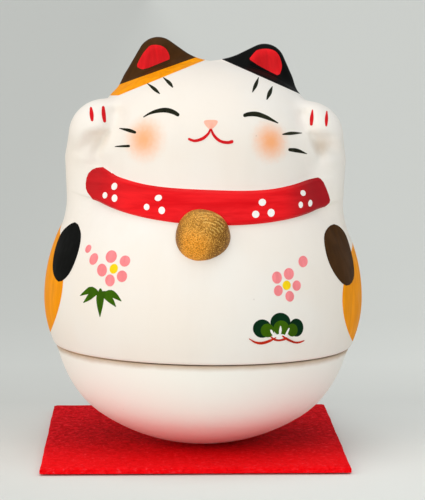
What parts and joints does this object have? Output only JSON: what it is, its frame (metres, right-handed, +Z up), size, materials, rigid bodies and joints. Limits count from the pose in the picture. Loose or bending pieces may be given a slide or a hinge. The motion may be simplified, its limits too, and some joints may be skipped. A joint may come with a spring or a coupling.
{
  "type": "lucky cat figurine",
  "caption": "Roly-poly ceramic lucky cat with both paws raised, on a weighted round bowl that rocks on a red felt mat.",
  "frame": {"origin": "on the underside of the felt mat, straight below the middle of the ball that the figure rocks on", "axes": "+Z up, the cat's face looks along -Y, +X is to the right of someone who faces the cat"},
  "size_m": [0.0864, 0.1037, 0.1122],
  "materials": {
    "red_felt": "matt pressed felt",
    "white_earthenware": "matt warm white paint over bisque clay",
    "dark_glue": "dark brown adhesive",
    "gold_paint": "brushed gold paint with fine cracks",
    "cast_iron": "raw casting",
    "plaster": "dry plaster",
    "red_paint": "satin red paint with brush marks",
    "dark_paint": "satin black paint",
    "brown_paint": "matt brown paint",
    "orange_paint": "matt orange paint",
    "pink_paint": "matt pink paint",
    "yellow_paint": "matt yellow paint",
    "green_paint": "matt green paint",
    "white_paint": "white paint dots"
  },
  "bodies": {
    "mat": {"felt_mat": "red_felt"},
    "figure": {"upper_shell": "white_earthenware", "lower_bowl": "white_earthenware", "seam_glue": "dark_glue", "bell": "gold_paint", "ballast_weight": "cast_iron", "weight_bed": "plaster"}
  },
  "joints": [
    {"name": "rocking", "type": "hinge", "parent": "mat", "child": "figure", "pos_m": [0, 0, 0.0518], "axis": [0, 1, 0], "range_deg": [-30, 30]}
  ]
}
